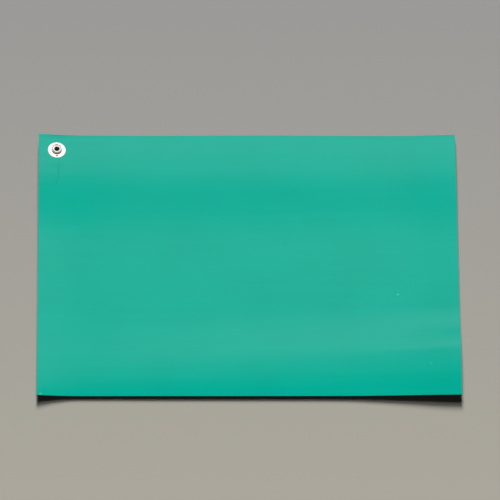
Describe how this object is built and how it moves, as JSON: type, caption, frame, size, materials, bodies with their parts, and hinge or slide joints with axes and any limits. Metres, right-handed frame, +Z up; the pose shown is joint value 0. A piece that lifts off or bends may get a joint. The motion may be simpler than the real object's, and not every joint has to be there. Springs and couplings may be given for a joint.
{
  "type": "anti static bench mat",
  "caption": "Flat two-layer rubber bench mat, teal green over black, with a nickel snap stud in one corner for its earth lead.",
  "frame": {"origin": "middle of the mat's plan, on the level that it lies on", "axes": "+X along the long side, away from the end with the snap; +Y across the mat, towards the long edge with the snap; +Z up"},
  "size_m": [0.42, 0.297, 0.0087],
  "materials": {
    "green_rubber": "smooth matt sheet rubber with a faint sheen, teal green",
    "black_rubber": "matt sheet rubber, black",
    "stud_nickel": "bright nickel plate on pressed brass",
    "eyelet_nickel": "nickel plate on pressed brass"
  },
  "bodies": {
    "root": {"surface_layer": "green_rubber", "base_layer": "black_rubber", "snap_stud": "stud_nickel", "snap_eyelet": "eyelet_nickel"}
  },
  "joints": []
}
